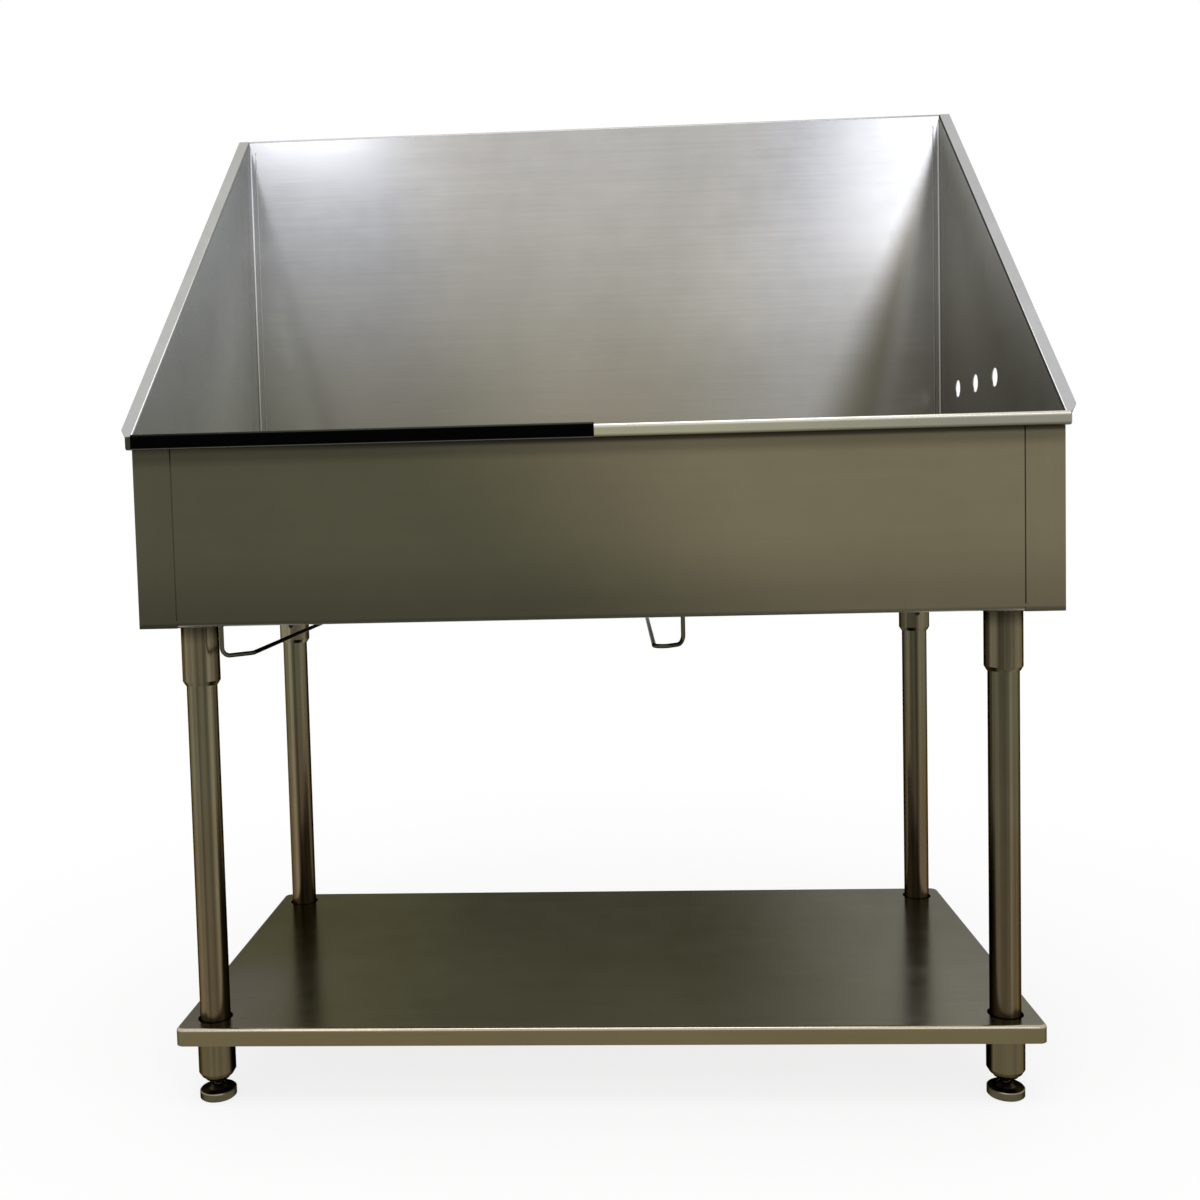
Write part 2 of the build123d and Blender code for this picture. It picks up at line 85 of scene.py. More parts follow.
class NodeTree:
    """The nodes of a material or of the world."""

    def __init__(self, owner):
        owner.use_nodes = True
        self.nodes = owner.node_tree.nodes
        self.links = owner.node_tree.links

    def feed(self, node, sockets):
        """Sets or links a node's input sockets."""
        for key, value in dict(sockets).items():
            if isinstance(value, Value):
                self.links.new(value.socket, node.inputs[key])
            else:
                node.inputs[key].default_value = value

    def node(self, kind, settings=(), sockets=(), output=0):
        """Adds a node of that type: first its settings, then its sockets."""
        node = self.nodes.new(kind)
        for key, value in dict(settings).items():
            setattr(node, key, value)
        self.feed(node, sockets)
        return Value(self, node.outputs[output])

    def maths(self, operation, first, second):
        return self.node("ShaderNodeMath", {"operation": operation}, {0: first, 1: second})

    def between(self, value, low, high, least=0.0, most=1.0):
        """Runs smoothly from least, where value is low, to most, where it is high."""
        limits = {"From Min": low, "From Max": high, "To Min": least, "To Max": most}
        smooth = {"interpolation_type": "SMOOTHSTEP"}
        return self.node("ShaderNodeMapRange", smooth, {"Value": value, **limits})

    def mixed(self, share, first, second, way="MIX"):
        """A colour between two others; way is the Mix node's blend type."""
        settings = {"data_type": "RGBA", "blend_type": way}
        return self.node("ShaderNodeMix", settings, {0: share, 6: first, 7: second}, output=2)

    def shaded(self, colour, light):
        """A colour made lighter or darker by a number round 1."""
        grey = self.node("ShaderNodeCombineColor", sockets={0: light, 1: light, 2: light})
        return self.mixed(1.0, colour, grey, "MULTIPLY")

    def parts(self, vector):
        """X, Y and Z of a vector."""
        apart = self.node("ShaderNodeSeparateXYZ", sockets={"Vector": vector})
        return [Value(self, socket) for socket in apart.socket.node.outputs]


class Finish(NodeTree):
    """A material on one Principled shader, painted by place on the object and by which way it faces."""

    def __init__(self, name, **shader):
        self.material = bpy.data.materials.new(name)
        super().__init__(self.material)
        self.shader = self.nodes["Principled BSDF"]
        self.feed(self.shader, {key.replace("_", " "): value for key, value in shader.items()})
        self.place = self.node("ShaderNodeTexCoord", output="Object")
        self.x, self.y, self.z = self.parts(self.place)
        self.facing = self.parts(self.node("ShaderNodeTexCoord", output="Normal"))

    def noise(self, patches, detail=3.0, softness=0.5, start=0.0):
        """Noise from 0 to 1, with that many patches a metre along X, Y and Z."""
        spread = {0: self.place, 1: patches, 2: (start, start, start)}
        place = self.node("ShaderNodeVectorMath", {"operation": "MULTIPLY_ADD"}, spread)
        sockets = {"Vector": place, "Scale": 1.0, "Detail": detail, "Roughness": softness}
        return self.node("ShaderNodeTexNoise", sockets=sockets)

    def paint(self, colour, rough, height, depth, strength):
        """Feeds the shader; height is a pattern that stands depth metres proud."""
        relief = {"Strength": strength, "Distance": depth, "Height": height}
        bump = self.node("ShaderNodeBump", sockets=relief)
        self.feed(self.shader, {"Base Color": colour, "Roughness": rough, "Normal": bump})
        return self

    def on(self, *nodes):
        """Gives this finish to CAD nodes, by name."""
        for node in nodes:
            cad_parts[node].data.materials[0] = self.material


def tint(code):
    """A colour written as six hexadecimal figures, as the linear values that a shader takes."""
    parts = [int(code[i:i + 2], 16) / 255 for i in (0, 2, 4)]
    return [p / 12.92 if p <= 0.04045 else ((p + 0.055) / 1.055) ** 2.4 for p in parts] + [1]


def brushed(finish, colour, grain, rough=0.2):
    """Sheet steel brushed along one axis: scratches, wider streaks, clouds and handling marks."""
    scratch = finish.noise([5 if axis == grain else 520 for axis in "XYZ"], 3, 0.6)
    streak = finish.noise([1.5 if axis == grain else 70 for axis in "XYZ"], 2, 0.5, start=7.0)
    cloud = finish.noise((5, 5, 5), 4, 0.55, start=3.0)
    mark = finish.noise((24, 24, 24), 4, 0.6, start=11.0)
    light = 0.16 * (scratch - 0.5) + 0.06 * (streak - 0.5) + 0.22 * (cloud - 0.5) + 0.09 * (mark - 0.5)
    wear = 0.10 * (scratch - 0.5) + 0.10 * (cloud - 0.5) + 0.10 * (mark - 0.5)
    tone = finish.shaded(colour, 1 + light)
    return finish.paint(tone, rough + wear, scratch, depth=0.0002, strength=0.012)


# Painted reflection: the apron's olive tones, darker at the left, stand in for the dark surroundings that it
# reflects.
apron_left = tint("4c4a39")
apron_right = tint("706953")
# The back panel's tones are painted reflection, lighter towards the top; the dark olive one is the right
# splash's painted reflection, and the fold's grey is painted shade.
panel_top = tint("b2b0ac")
panel_top_sides = tint("b2b3b8")
panel_low = tint("8c8778")
panel_low_left = tint("77756a")
panel_low_right = tint("9d9b96")
splash_reflection_tone = tint("55503f")
plain_low = tint("918f86")
plain_high = tint("b3b2ac")
inside_steel = tint("cccac3")
fold_shade = tint("8a8a87")

shell_low, shell_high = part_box("basin_shell")
floor_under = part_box("leg_socket_fl")[1].z
sheet = 0.0015
apron_face = shell_low.y
panel_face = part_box("side_panel_right")[1].y - sheet
rim_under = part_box("front_rim")[0].z


def apron_tone(finish):
    """Olive grey painted reflection, darker at the left and lower down, with painted shade under the rim and
    on the lower bend.
    """
    slanted = finish.x + 0.9 * (finish.z - 0.8)
    colour = finish.mixed(finish.between(slanted, -0.24, 0.26), apron_left, apron_right)
    # Painted shadow of the rim along the top of the apron, and painted shade along its lower bend.
    under_rim_shade = finish.between(finish.z, rim_under - 0.012, rim_under - 0.028, 0.68, 1.0)
    shadow_least = finish.between(finish.x, -0.75, 0.0, 0.85, 0.22)
    rim_shadow = finish.between(finish.z, rim_under - 0.002, rim_under - 0.008, shadow_least, 1.0)
    low_down = finish.between(finish.z, floor_under, 0.78, 0.70, 1.0)
    lower_bend_shade = finish.between(finish.z, floor_under + 0.007, floor_under + 0.002, 1.0, 0.55)
    return finish.shaded(colour, under_rim_shade * rim_shadow * low_down * lower_bend_shade)


def panel_tone(finish):
    """Painted reflection on satin steel: light towards the top, olive grey behind the rim, other tones low at
    the corners.
    """
    low = finish.mixed(finish.between(finish.x, -0.36, -0.02), panel_low_left, panel_low)
    low = finish.mixed(finish.between(finish.x, 0.05, 0.4), low, panel_low_right)
    top = finish.mixed(finish.between(finish.x * finish.x, 0.04, 0.16), panel_top, panel_top_sides)
    colour = finish.mixed(finish.between(finish.z, 0.92, 1.46), low, top)
    # Painted highlight right of the middle, higher up.
    sheen = finish.between(finish.x, 0.0, 0.3) * finish.between(finish.z, 1.0, 1.2)
    sheen = sheen * finish.between(finish.z, 1.38, 1.22)
    colour = finish.shaded(colour, 1 + 0.17 * sheen)
    # The right splash's painted reflection: a dark wedge along the right corner, sharper higher up.
    blur = 0.152 - 0.1 * finish.z
    wedge = finish.between(finish.x - 0.389 * finish.z, 0.046 - blur, 0.046 + blur)
    wedge = wedge * finish.between(finish.x - 0.213 * finish.z, 0.315, 0.275, 0.5, 1.0)
    colour = finish.mixed(0.82 * wedge, colour, splash_reflection_tone)
    colour = finish.mixed(finish.between(finish.z, 0.92, 0.84), colour, inside_steel)
    # Painted light at the left corner.
    left_corner_light = finish.between(finish.x + 0.241 * finish.z, -0.245, -0.290)
    colour = finish.shaded(colour, 1 + 0.52 * left_corner_light)
    # Painted shade along the fold at the top.
    fold = finish.between(finish.z, shell_high.z - 0.0035, shell_high.z - 0.002)
    return finish.mixed(fold, colour, fold_shade)


def plain_tone(finish):
    """Satin grey of the faces turned away from the front, darker towards the floor."""
    return finish.mixed(finish.between(finish.z, floor_under, shell_high.z), plain_low, plain_high)


def bowl_inside(finish):
    """1 on the bowl's floor and on the inner face of its apron, else 0."""
    floor_top = finish.between(finish.facing[2], 0.1, 0.4)
    apron_back = finish.between(finish.facing[1], 0.1, 0.4) * finish.between(finish.y, 0.1, -0.1)
    return finish.maths("MAXIMUM", floor_top, apron_back)


def sheet_tones(finish, other):
    """The apron's and the back panel's tones on the faces that belong to them, else the other one."""
    in_front = finish.between(finish.y, apron_face + 0.004, apron_face + 0.001)
    in_front = in_front * finish.between(finish.facing[1], 0.2, -0.1)
    at_back = finish.between(finish.y, panel_face - 0.012, panel_face - 0.004)
    at_back = at_back * finish.between(finish.facing[1], 0.02, -0.2)
    colour = finish.mixed(at_back, other, panel_tone(finish))
    return finish.mixed(in_front, colour, apron_tone(finish))


edge_tint = tint("c4c2ba")
bowl_steel = Finish("brushed_bowl_sheet", Metallic=0.8, Specular_Tint=edge_tint)
bowl_tone = bowl_steel.mixed(bowl_inside(bowl_steel), plain_tone(bowl_steel), inside_steel)
brushed(bowl_steel, sheet_tones(bowl_steel, bowl_tone), "X").on("basin_shell")

# Side splashes ---------------------------------------------------------------------------------
# Two brushed sheets, each folded round the front and the back corners of the bowl, with a narrow
# outward flange along the sloping edge. Three holes punched in the right one take a tap.


def splash(name, side, corner_top, corner_low, inside_top, inside_low, flange, bend_shade):
    """Finish of one side splash; side is 1 at the right and -1 at the left."""
    steel = Finish(name, Metallic=0.8, Specular_Tint=edge_tint)
    # Painted light and reflection: lighter towards the top, each face painted its own tone by which way it
    # faces, and the bend below the flange painted dark as shade.
    higher = steel.between(steel.z, 0.92, 1.34)
    corner = steel.mixed(higher, corner_low, corner_top)
    inside = steel.mixed(higher, inside_low, inside_top)
    inside = steel.mixed(steel.between(steel.y, 0.28, 0.10), corner, inside)
    turned_out = steel.between(steel.facing[0] * side, -0.3, 0.3)
    colour = steel.mixed(turned_out, inside, plain_tone(steel))
    colour = sheet_tones(steel, colour)
    colour = steel.mixed(steel.between(steel.facing[2], 0.05, 0.2), colour, bend_shade)
    return brushed(steel, steel.mixed(steel.between(steel.facing[2], 0.66, 0.72), colour, flange), "Z")


# Tones of the corner and of the inside, high and low, of the flange and of the bend: the right splash is
# painted darker than the left as painted reflection and shade.
left_tints = [tint(code) for code in ("b3b5b5", "bfc3c4", "cbcecf", "d0d4d5", "b2b2b0", "868684")]
splash("brushed_left_splash", -1, *left_tints).on("side_panel_left")
right_tints = [tint(code) for code in ("a6a69f", "787772", "bebeb8", "82827d", "b5b5b6", "353431")]
splash("brushed_right_splash", 1, *right_tints).on("side_panel_right")

# Corner welds ----------------------------------------------------------------------------------
# Where the splashes meet the bowl's sheet they are welded from end to end: dressed flat on the
# apron and the back panel, and left as a small smooth fillet along the bowl's floor.

front_return = 0.052
back_return = 0.012
splash_flange = 0.017
splash_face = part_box("side_panel_right")[1].x - splash_flange
apron_bend = 0.009
back_bend = 0.0135
fold_gap = 0.02  # left free below the back panel's folded top
seam_radius = 0.0008
back_weld_radius = 0.0011
floor_weld_radius = 0.0022
ripple_step = 0.0012


def piece(name, points, faces, finish, body, slot):
    """A mesh in the frame that rides on a body and takes the given finish; slot is not used."""
    mesh = bpy.data.meshes.new(name)
    mesh.from_pydata(points, [], faces)
    mesh.update()
    mesh.materials.append(finish.material)
    mesh.shade_smooth()
    thing = bpy.data.objects.new(name, mesh)
    bpy.context.collection.objects.link(thing)
    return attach(thing, body)


def bead_mesh(line, out, radius, flat=1.0, ripple=0.0, closed=False, sides=8):
    """Points and faces of a bead along a line; out is the way it stands proud at each point."""
    count = len(line)
    points = []
    for i, here in enumerate(line):
        before = line[(i - 1) % count] if closed or i else here
        after = line[(i + 1) % count] if closed or i < count - 1 else here
        along = (after - before).normalized()
        up = out[i].normalized()
        across = along.cross(up)
        size = radius * (1 + ripple * sin(i * tau / 5))
        for k in range(sides):
            turn = tau * k / sides
            points.append(here + across * size * cos(turn) + up * size * flat * sin(turn))
    faces = []
    for i in range(count if closed else count - 1):
        for k in range(sides):
            a, b = i * sides + k, i * sides + (k + 1) % sides
            c, d = ((i + 1) % count) * sides + (k + 1) % sides, ((i + 1) % count) * sides + k
            faces.append((a, b, c, d))
    if not closed:
        faces.append(tuple(range(sides))[::-1])
        faces.append(tuple((count - 1) * sides + k for k in range(sides)))
    return points, faces


def straight(start, end, step=0.02):
    """Points from start to end, about a step apart."""
    start, end = Vector(start), Vector(end)
    count = max(2, int((end - start).length / step))
    return [start.lerp(end, i / count) for i in range(count + 1)]


seam_dark = Finish("dressed_seam", Metallic=1.0)
seam_light = seam_dark.between(seam_dark.x, -0.1, 0.1, 0.64, 0.02)
seam_light = seam_light * seam_dark.between(seam_dark.z, rim_under - 0.03, rim_under - 0.01, 1.0, 0.4)
seam_light = seam_light + 0.25 * seam_dark.noise((40, 40, 40))
seam_tone = seam_dark.shaded(apron_tone(seam_dark), seam_light)
seam_dark.paint(seam_tone, 0.5, seam_dark.noise((300, 300, 300)), depth=0.0002, strength=0.2)
weld_steel = Finish("smoothed_weld", Metallic=1.0, Specular_Tint=edge_tint)
weld_grain = weld_steel.noise((120, 120, 120), 4, 0.6)
weld_tone = weld_steel.shaded(sheet_tones(weld_steel, inside_steel), 0.8 + 0.3 * weld_grain)
weld_steel.paint(weld_tone, 0.22 + 0.2 * weld_grain, weld_grain, depth=0.0003, strength=0.2)

frontwards = Vector((0, -1, 0))
upwards = Vector((0, 0, 1))
for side, word in ((-1, "left"), (1, "right")):
    front_x = side * (splash_face - front_return)
    line = straight((front_x, apron_face, floor_under + apron_bend), (front_x, apron_face, rim_under))
    mesh = bead_mesh(line, [frontwards] * len(line), seam_radius, flat=0.15)
    piece(f"apron_seam_{word}", *mesh, seam_dark, "bowl_and_legs", "bowl_stainless")

    back_x = side * (splash_face - back_return)
    floor_z = floor_under + sheet
    line = straight((back_x, panel_face, floor_z + back_bend), (back_x, panel_face, shell_high.z - fold_gap))
    mesh = bead_mesh(line, [frontwards] * len(line), back_weld_radius, flat=0.12)
    piece(f"back_corner_weld_{word}", *mesh, weld_steel, "bowl_and_legs", "bowl_stainless")

    wall_x = side * (splash_face - sheet)
    front_end = (wall_x, apron_face + apron_bend, floor_z)
    rear_end = (wall_x, panel_face - back_bend, floor_z)
    line = straight(front_end, rear_end, ripple_step)
    mesh = bead_mesh(line, [upwards] * len(line), floor_weld_radius, ripple=0.05, sides=10)
    piece(f"floor_edge_weld_{word}", *mesh, weld_steel, "bowl_and_legs", "bowl_stainless")

# Front rim -------------------------------------------------------------------------------------
# A strip folded to a flat hollow bar, welded along the top of the apron and closed by a small
# plate at each end. A highlight is painted along its top, and shade along its lower edge, at its
# left end and on its left cap.

rim_low, rim_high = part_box("front_rim")
rim_steel = Finish("rim_with_painted_highlight", Metallic=1.0)
rim_face = rim_steel.mixed(rim_steel.between(rim_steel.x, 0.0, 0.6), tint("9d9b82"), tint("8b887c"))
# Painted shade along the lower edge, painted highlight along the top.
rim_lower_shade = rim_steel.between(rim_steel.z, rim_low.z + 0.001, rim_low.z + 0.005)
rim_face = rim_steel.mixed(rim_lower_shade, tint("5a5743"), rim_face)
rim_top_highlight = rim_steel.between(rim_steel.z, rim_high.z - 0.0062, rim_high.z - 0.0036)
rim_tone = rim_steel.mixed(rim_top_highlight, rim_face, tint("cdc9bd"))
# Painted shade at the rim's left end.
rim_tone = rim_steel.mixed(rim_steel.between(rim_steel.x, -0.595, -0.606), rim_tone, tint("3a382e"))
brushed(rim_steel, rim_tone, "X", rough=0.26).on("front_rim")
cap_steel = Finish("rim_cap_with_painted_shade", Metallic=1.0)
# The left cap painted dark as shade, the right one lighter.
cap_side = cap_steel.between(cap_steel.x, -0.5, 0.5)
cap_tone = cap_steel.mixed(cap_side, tint("34322a"), tint("8f897c"))
brushed(cap_steel, cap_tone, "Z", rough=0.3).on("rim_end_caps")

# Rim trim --------------------------------------------------------------------------------------
# A strip of dead black rubber of U section, cut to length and pushed over the left half of the rim.
# Its top edge has a painted grey highlight, and its lower lip a painted highlight.

rubber = Finish("black_rubber", Specular_IOR_Level=0.015)
dust = rubber.noise((28, 28, 28), 4, 0.6)
pits = rubber.noise((800, 800, 800), 2, 0.5)
rubber_tone = rubber.mixed(rubber.between(dust, 0.5, 0.85, 0.0, 0.6), tint("010101"), tint("050504"))
trim_low, trim_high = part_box("rim_trim")
# Painted highlight along the top edge, stronger to the right.
top_edge_highlight = rubber.between(rubber.z, trim_high.z - 0.0032, trim_high.z - 0.0012)
top_edge_highlight = top_edge_highlight * rubber.between(rubber.x, -0.62, -0.2, 0.3, 1.0)
rubber_tone = rubber.mixed(top_edge_highlight, rubber_tone, tint("3a3a35"))
# Painted highlight along the lower lip.
lower_lip_highlight = rubber.between(rubber.z, trim_low.z + 0.0014, trim_low.z + 0.0006)
rubber_tone = rubber.mixed(lower_lip_highlight, rubber_tone, tint("4c4a43"))
rubber.paint(rubber_tone, 0.6 + 0.2 * dust, pits, depth=0.0003, strength=0.3)
rubber.on("rim_trim", "drain_gasket")

# Legs ------------------------------------------------------------------------------------------
# Polished stainless tubes. Each stands in a turned socket, which has a square flange welded under
# the bowl and is clamped on the tube by a set screw.

corners = ("fl", "fr", "rl", "rr")


def polished(name, colour, cool, rough, reflection_bands=1.0, middle=1.0, inner=1.0, right=1.0, under=0.0):
    """Polished tube or rod, with scratches along it and bands of painted reflection along it.

    cool is its tone higher up. middle, inner and right are painted light: along its front and back,
    along the side that faces the sink's middle, where it is painted dark as a reflection, and on
    the tubes at the sink's right end. under is the height of a sheet that it stands close under, in
    whose painted shade it ends.
    """
    steel = Finish(name, Metallic=1.0, Specular_Tint=tint("7d796e"))
    shade = steel.between(steel.z, under - 0.002, under - 0.03, 0.35, 1.0) if under else 1.0
    inward = steel.facing[0] * steel.between(steel.x, -0.01, 0.01, 1.0, -1.0)
    turned = steel.between(inward, -0.16, 0.02) * steel.between(inward, 0.68, 0.48)
    turned = 1 + (middle - 1) * turned
    turned = turned * steel.between(inward, 0.80, 0.92, 1.0, inner)
    turned = turned * steel.between(steel.x, -0.1, 0.1, 1.0, right)
    reflection_band = steel.noise((150, 150, 0.5), 2, 0.5, start=5.0)
    scratch = steel.noise((600, 600, 6), 3, 0.6)
    stain = steel.noise((20, 20, 8), 4, 0.6, start=2.0)
    light = 1 + reflection_bands * 2.0 * (reflection_band - 0.5) + 0.25 * (scratch - 0.5) + 0.3 * (stain - 0.5)
    wear = 0.14 * (scratch - 0.5) + 0.16 * (stain - 0.5)
    colour = steel.mixed(steel.between(steel.z + 0.6 * (stain - 0.5), 0.15, 0.65), colour, cool)
    tone = steel.shaded(colour, light * turned * shade)
    return steel.paint(tone, rough + wear, scratch, depth=0.0003, strength=0.1)


# Painted light: darker facing front and back, the side towards the sink's middle painted dark as a
# reflection, the right-end tubes darker.
tube_light = {"middle": 0.5, "inner": 0.4, "right": 0.8}
leg_steel = polished("polished_leg_tube", tint("6e6048"), tint("706b54"), 0.23, **tube_light)
leg_steel.on(*[f"leg_{corner}" for corner in corners])
# Painted shade at the top of each socket, under the bowl.
socket_tones = tint("6e6048"), tint("746c55")
socket_steel = polished("turned_socket", *socket_tones, 0.24, under=floor_under, **tube_light)
socket_steel.on(*[f"leg_socket_{corner}" for corner in corners])
screw_steel = polished("set_screw_steel", tint("35332b"), tint("2b2a25"), 0.35)
screw_steel.on("socket_screws")
weld_under = Finish("raw_weld", Metallic=1.0)
weld_heat = weld_under.noise((60, 60, 60), 4, 0.6)
weld_colour = weld_under.mixed(weld_heat, tint("5b5340"), tint("8a8474"))
weld_under.paint(weld_colour, 0.3 + 0.2 * weld_heat, weld_heat, depth=0.0004, strength=0.3)


flange_corner = 0.008
flange_bead = 0.0016
flange_bead_sunk = 0.0008  # its middle below the flange's upper face


def flange_weld(name, node, body):
    """The rippled bead round the upper edge of a socket's square flange."""
    low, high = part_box(node)
    middle = Vector(((low.x + high.x) / 2, (low.y + high.y) / 2, high.z))
    half_x = (high.x - low.x) / 2 - flange_corner
    half_y = (high.y - low.y) / 2 - flange_corner
    edge = []
    for quarter, (corner_x, corner_y) in enumerate(((1, 1), (-1, 1), (-1, -1), (1, -1))):
        centre = middle + Vector((corner_x * half_x, corner_y * half_y, -flange_bead_sunk))
        for step in range(9):
            turn = (quarter + step / 8) * pi / 2
            edge.append(centre + Vector((cos(turn), sin(turn), 0)) * flange_corner)
    line = []
    for i, here in enumerate(edge):
        line += straight(here, edge[(i + 1) % len(edge)], flange_bead)[:-1]
    mesh = bead_mesh(line, [point - middle for point in line], flange_bead, ripple=0.1, closed=True)
    piece(name, *mesh, weld_under, body, "socket_cast_steel")


for corner in corners:
    flange_weld(f"leg_socket_weld_{corner}", f"leg_socket_{corner}", "bowl_and_legs")

# Undershelf ------------------------------------------------------------------------------------
# A sheet pan with folded-down edges and four leg holes, a hat channel spot-welded under it, and a
# socket welded under each hole.

shelf_steel = Finish("brushed_shelf_sheet", Metallic=1.0, Specular_Tint=tint("9f9fa0"))
# Painted reflection: the top is painted dark, lighter to the right, to the left and at the front left; the
# fold is a painted highlight, and the skirt and the underside are painted their own tones by which way they
# face.
shelf_top = shelf_steel.mixed(shelf_steel.between(shelf_steel.x, 0.12, 0.52), tint("5a584a"), tint("868477"))
shelf_top = shelf_steel.mixed(shelf_steel.between(shelf_steel.x, -0.15, -0.46), shelf_top, tint("66634f"))
front_left_reflection = shelf_steel.between(shelf_steel.x, -0.36, -0.54)
front_left_reflection = front_left_reflection * shelf_steel.between(shelf_steel.y, 0.05, -0.16)
shelf_top = shelf_steel.mixed(0.6 * front_left_reflection, shelf_top, tint("7a746d"))
shelf_skirt = tint("6b6146")
shelf_fold_highlight = tint("b4ab97")
facing_up = shelf_steel.facing[2]
shelf_tone = shelf_steel.mixed(shelf_steel.between(facing_up, 0.90, 0.98), shelf_fold_highlight, shelf_top)
shelf_tone = shelf_steel.mixed(shelf_steel.between(facing_up, 0.15, 0.45), shelf_skirt, shelf_tone)
shelf_tone = shelf_steel.mixed(shelf_steel.between(facing_up, -0.3, -0.7), shelf_tone, tint("76736a"))
brushed(shelf_steel, shelf_tone, "X", rough=0.2).on("undershelf", "shelf_stiffener")
lower_steel = tint("5f563f")
shelf_socket_steel = polished("turned_shelf_socket", lower_steel, tint("5b5742"), 0.27, reflection_bands=0.5, inner=0.12)
shelf_socket_steel.on(*[f"shelf_socket_{corner}" for corner in corners])
screw_steel.on("shelf_socket_screws")
for corner in corners:
    flange_weld(f"shelf_socket_weld_{corner}", f"shelf_socket_{corner}", "shelf")

spot_radius = 0.003
spot_depth = 0.0003
spot_count = 13
spot_pitch = 0.08
spot_inset = 0.02
spot_sides = 16
channel_sheet = 0.0012
channel_low, channel_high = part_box("shelf_stiffener")
channel_y = (channel_low.y + channel_high.y) / 2
spot_y = 0.0375  # each row from the channel's middle
flange_under = channel_high.z - channel_sheet
spot_rings = ((spot_radius, flange_under), (spot_radius * 0.6, flange_under - spot_depth))
points, faces = [], []
for row in (-1, 1):
    for n in range(spot_count):
        x = channel_low.x + spot_inset + n * spot_pitch
        y = channel_y + row * spot_y
        first = len(points)
        for radius, z in spot_rings:
            turns = [tau * k / spot_sides for k in range(spot_sides)]
            points += [(x + radius * cos(turn), y + radius * sin(turn), z) for turn in turns]
        lower = first + spot_sides
        middle = lower + spot_sides
        points.append((x, y, flange_under - spot_depth * 0.4))
        faces.append(tuple(range(first, lower)))
        for k in range(spot_sides):
            j = (k + 1) % spot_sides
            faces.append((first + j, first + k, lower + k, lower + j))
            faces.append((lower + j, lower + k, middle))
piece("stiffener_spot_welds", points, faces, weld_under, "shelf", "shelf_stainless")

# Feet ------------------------------------------------------------------------------------------
# A threaded bush pressed into each leg's end, a screw stem in it and a round pad on the stem, all
# of plated steel that has gone dull.

foot_steel = polished("plated_foot", tint("565040"), tint("4e4a3d"), 0.28, reflection_bands=0.3, inner=0.3)
foot_steel.on(*[f"foot_{part}_{corner}" for part in ("bush", "stem") for corner in corners])
pad_steel = Finish("plated_pad", Metallic=1.0, Specular_Tint=tint("7d796e"))
pad_edge = 0.0115
# Painted highlight on the faces turned up round the pad's edge, and the pad's top above it painted dark as a
# reflection.
pad_tone = pad_steel.mixed(pad_steel.between(pad_steel.facing[2], 0.15, 0.45), tint("57513f"), tint("87806c"))
pad_top_reflection = pad_steel.between(pad_steel.z, pad_edge - 0.0004, pad_edge + 0.0002)
pad_tone = pad_steel.mixed(pad_top_reflection, pad_tone, tint("39342a"))
pad_wear = pad_steel.noise((90, 90, 90), 4, 0.6)
pad_tone = pad_steel.shaded(pad_tone, 0.75 + 0.5 * pad_wear)
pad_steel.paint(pad_tone, 0.2 + 0.2 * pad_wear, pad_wear, depth=0.0003, strength=0.1)
pad_steel.on(*[f"foot_pad_{corner}" for corner in corners])

# Waste outlet ----------------------------------------------------------------------------------
# A turned body plated bright, clamped through the bowl's floor by its nut on a gasket, with a
# lift-out strainer.

waste = Finish("bright_waste", Metallic=1.0)
brushed(waste, tint("bdbab2"), "Z", rough=0.16)
waste.on("drain_body", "drain_lock_nut", "strainer_basket", "strainer_knob")

# Wire runners ----------------------------------------------------------------------------------
# Two runners of drawn stainless rod, bent so that their ends stand upright, and welded there under
# the bowl's floor.

rod_steel = polished("drawn_rod", tint("4b4839"), tint("454334"), 0.26, reflection_bands=0.5)
rod_steel.on("wire_runner_left", "wire_runner_right")
rod_radius = 0.003
rod_bead = 0.0014
rod_bead_sides = 40
right_front_setback = 0.058  # the right rod's front upright, from the apron's face
for word in ("left", "right"):
    low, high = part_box(f"wire_runner_{word}")
    upright_x = low.x + rod_radius if word == "left" else high.x - rod_radius
    for place, y in (("front", low.y + rod_radius), ("rear", high.y - rod_radius)):
        if word == "right" and place == "front":
            y = apron_face + right_front_setback
        top = Vector((upright_x, y, high.z))
        turns = [tau * k / rod_bead_sides for k in range(rod_bead_sides)]
        line = [top + Vector((cos(turn), sin(turn), 0)) * rod_radius for turn in turns]
        mesh = bead_mesh(line, [point - top for point in line], rod_bead, ripple=0.12, closed=True)
        piece(f"runner_weld_{word}_{place}", *mesh, weld_under, "bowl_and_legs", "rod_stainless")

# Floor, light and camera -----------------------------------------------------------------------
# A plain pale floor, a white surround and three soft lamps, seen from the place and with the lens
# that the photograph was taken with.


def seen(tree):
    """1 for what the camera sees straight, in metal or through glass, and 0 for other light."""
    path = tree.node("ShaderNodeLightPath").socket.node.outputs
    rays = [Value(tree, path[f"Is {kind} Ray"]) for kind in ("Camera", "Glossy", "Transmission")]
    return tree.maths("MINIMUM", rays[0] + rays[1] + rays[2], 1.0)


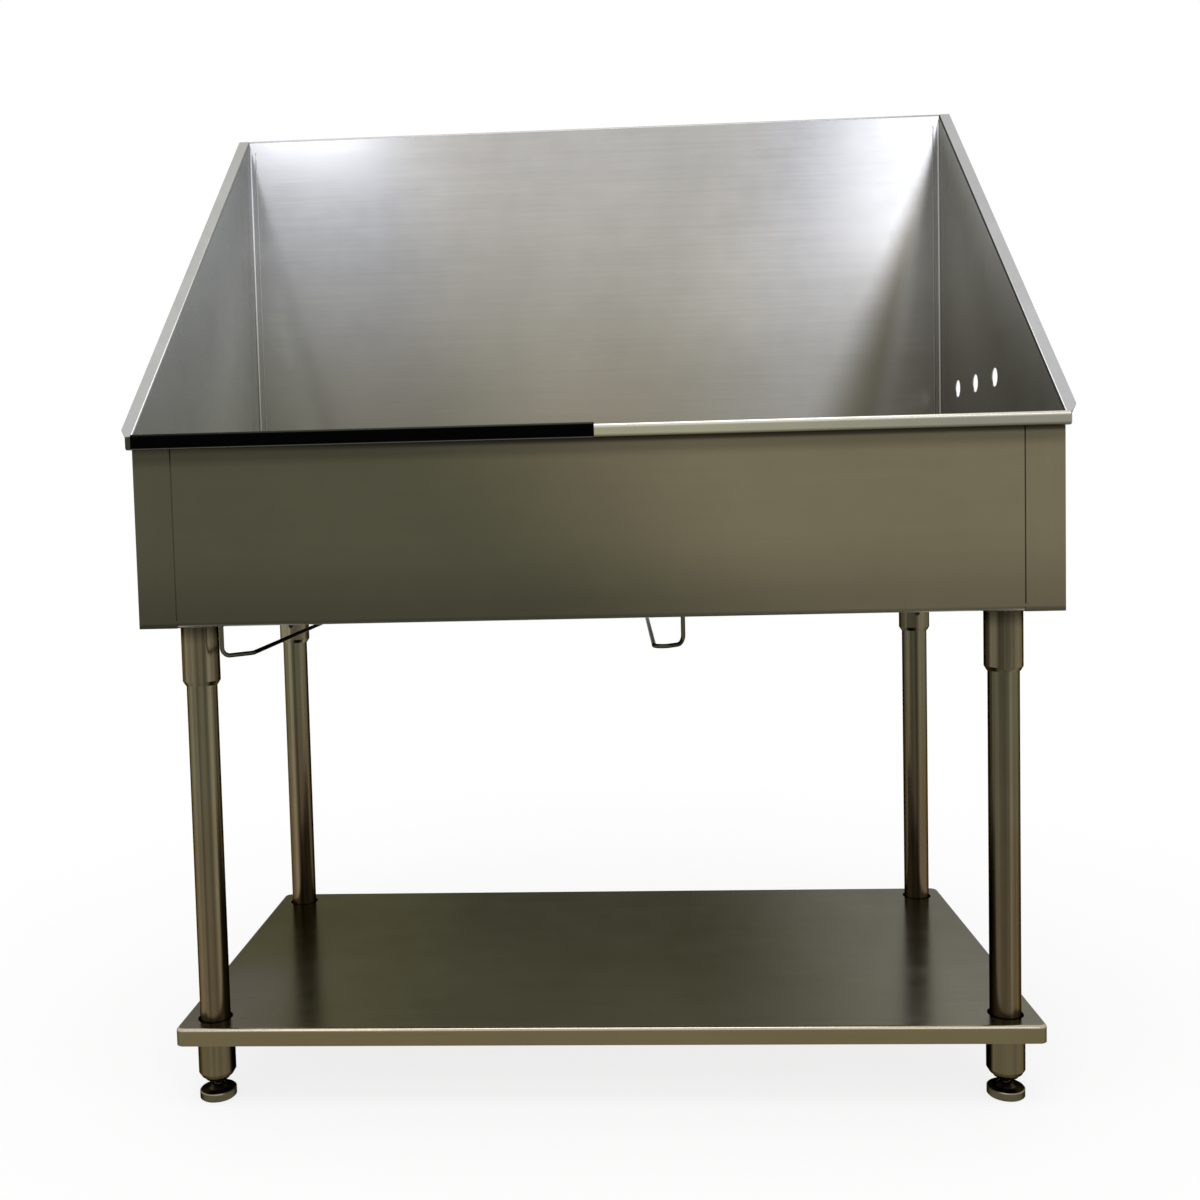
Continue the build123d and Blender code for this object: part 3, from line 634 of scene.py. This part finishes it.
floor_half = 30.0
floor_mesh = bpy.data.meshes.new("studio_floor")
floor_corners = [(x * floor_half, y * floor_half, 0) for x, y in ((-1, -1), (1, -1), (1, 1), (-1, 1))]
floor_mesh.from_pydata(floor_corners, [], [(0, 1, 2, 3)])
floor = bpy.data.objects.new("studio_floor", floor_mesh)
bpy.context.collection.objects.link(floor)
floor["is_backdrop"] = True
pale = Finish("pale_floor", Roughness=0.9, Specular_IOR_Level=0.2)
pale.feed(pale.shader, {"Base Color": pale.mixed(pale.noise((2, 2, 2)), tint("f0f0ef"), tint("f7f7f6"))})
reach = pale.node("ShaderNodeVectorMath", {"operation": "LENGTH"}, {0: pale.place}, output="Value")
white_share = pale.between(reach, 0.7, 2.0, 0.82, 1.0)
glow = pale.node("ShaderNodeEmission", sockets={"Color": (1, 1, 1, 1), "Strength": 1.0})
shader = Value(pale, pale.shader.outputs[0])
mix = pale.node("ShaderNodeMixShader", sockets={0: seen(pale) * white_share, 1: shader, 2: glow})
pale.feed(pale.nodes["Material Output"], {"Surface": mix})
floor_mesh.materials.append(pale.material)

world = bpy.data.worlds.new("white_surround")
bpy.context.scene.world = world
surround = NodeTree(world)
white = (1, 1, 1, 1)
plain = surround.node("ShaderNodeBackground", sockets={"Color": white, "Strength": 0.85})
shown = surround.node("ShaderNodeBackground", sockets={"Color": white, "Strength": 1.0})
mix = surround.node("ShaderNodeMixShader", sockets={0: seen(surround), 1: plain, 2: shown})
surround.feed(surround.nodes["World Output"], {"Surface": mix})

lamps = {
    "lamp_left": ((-1.27, -2.9, 2.62), (0.57, 0.5), 4.3),
    "lamp_right": ((1.36, -2.9, 2.2), (0.6, 0.75), 3.7),
    "lamp_top": ((-0.1, -0.6, 3.6), (2.4, 2.0), 42),
}
lamp_aim = Vector((0, 0.1, 1.0))
for name, (place, size, power) in lamps.items():
    lamp = bpy.data.objects.new(name, bpy.data.lights.new(name, "AREA"))
    lamp.data.shape = "RECTANGLE"
    lamp.data.size, lamp.data.size_y = size
    lamp.data.energy = power
    lamp.location = place
    lamp.rotation_euler = (lamp_aim - lamp.location).to_track_quat("-Z", "Y").to_euler()
    lamp.visible_camera = False
    bpy.context.collection.objects.link(lamp)

photo_width = 1200.0
focal_pixels = 1247.99
optical_centre = (554.7, 565.8)
camera_place = (0.03165, -1.93775, 0.82788)
camera_yaw = radians(2.868)
camera_pitch = radians(-3.155)
camera_roll = radians(1.449)
camera = bpy.data.objects.new("camera", bpy.data.cameras.new("camera"))
bpy.context.collection.objects.link(camera)
turn = Matrix.Rotation(camera_yaw, 4, "Z") @ Matrix.Rotation(pi / 2 + camera_pitch, 4, "X")
camera.matrix_world = Matrix.Translation(camera_place) @ turn @ Matrix.Rotation(-camera_roll, 4, "Z")
camera.data.sensor_width = 36.0
camera.data.lens = camera.data.sensor_width * focal_pixels / photo_width
camera.data.shift_x = (photo_width / 2 - optical_centre[0]) / photo_width
camera.data.shift_y = (optical_centre[1] - photo_width / 2) / photo_width
bpy.context.scene.camera = camera
bpy.context.scene.view_settings.view_transform = "Standard"

low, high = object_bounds()
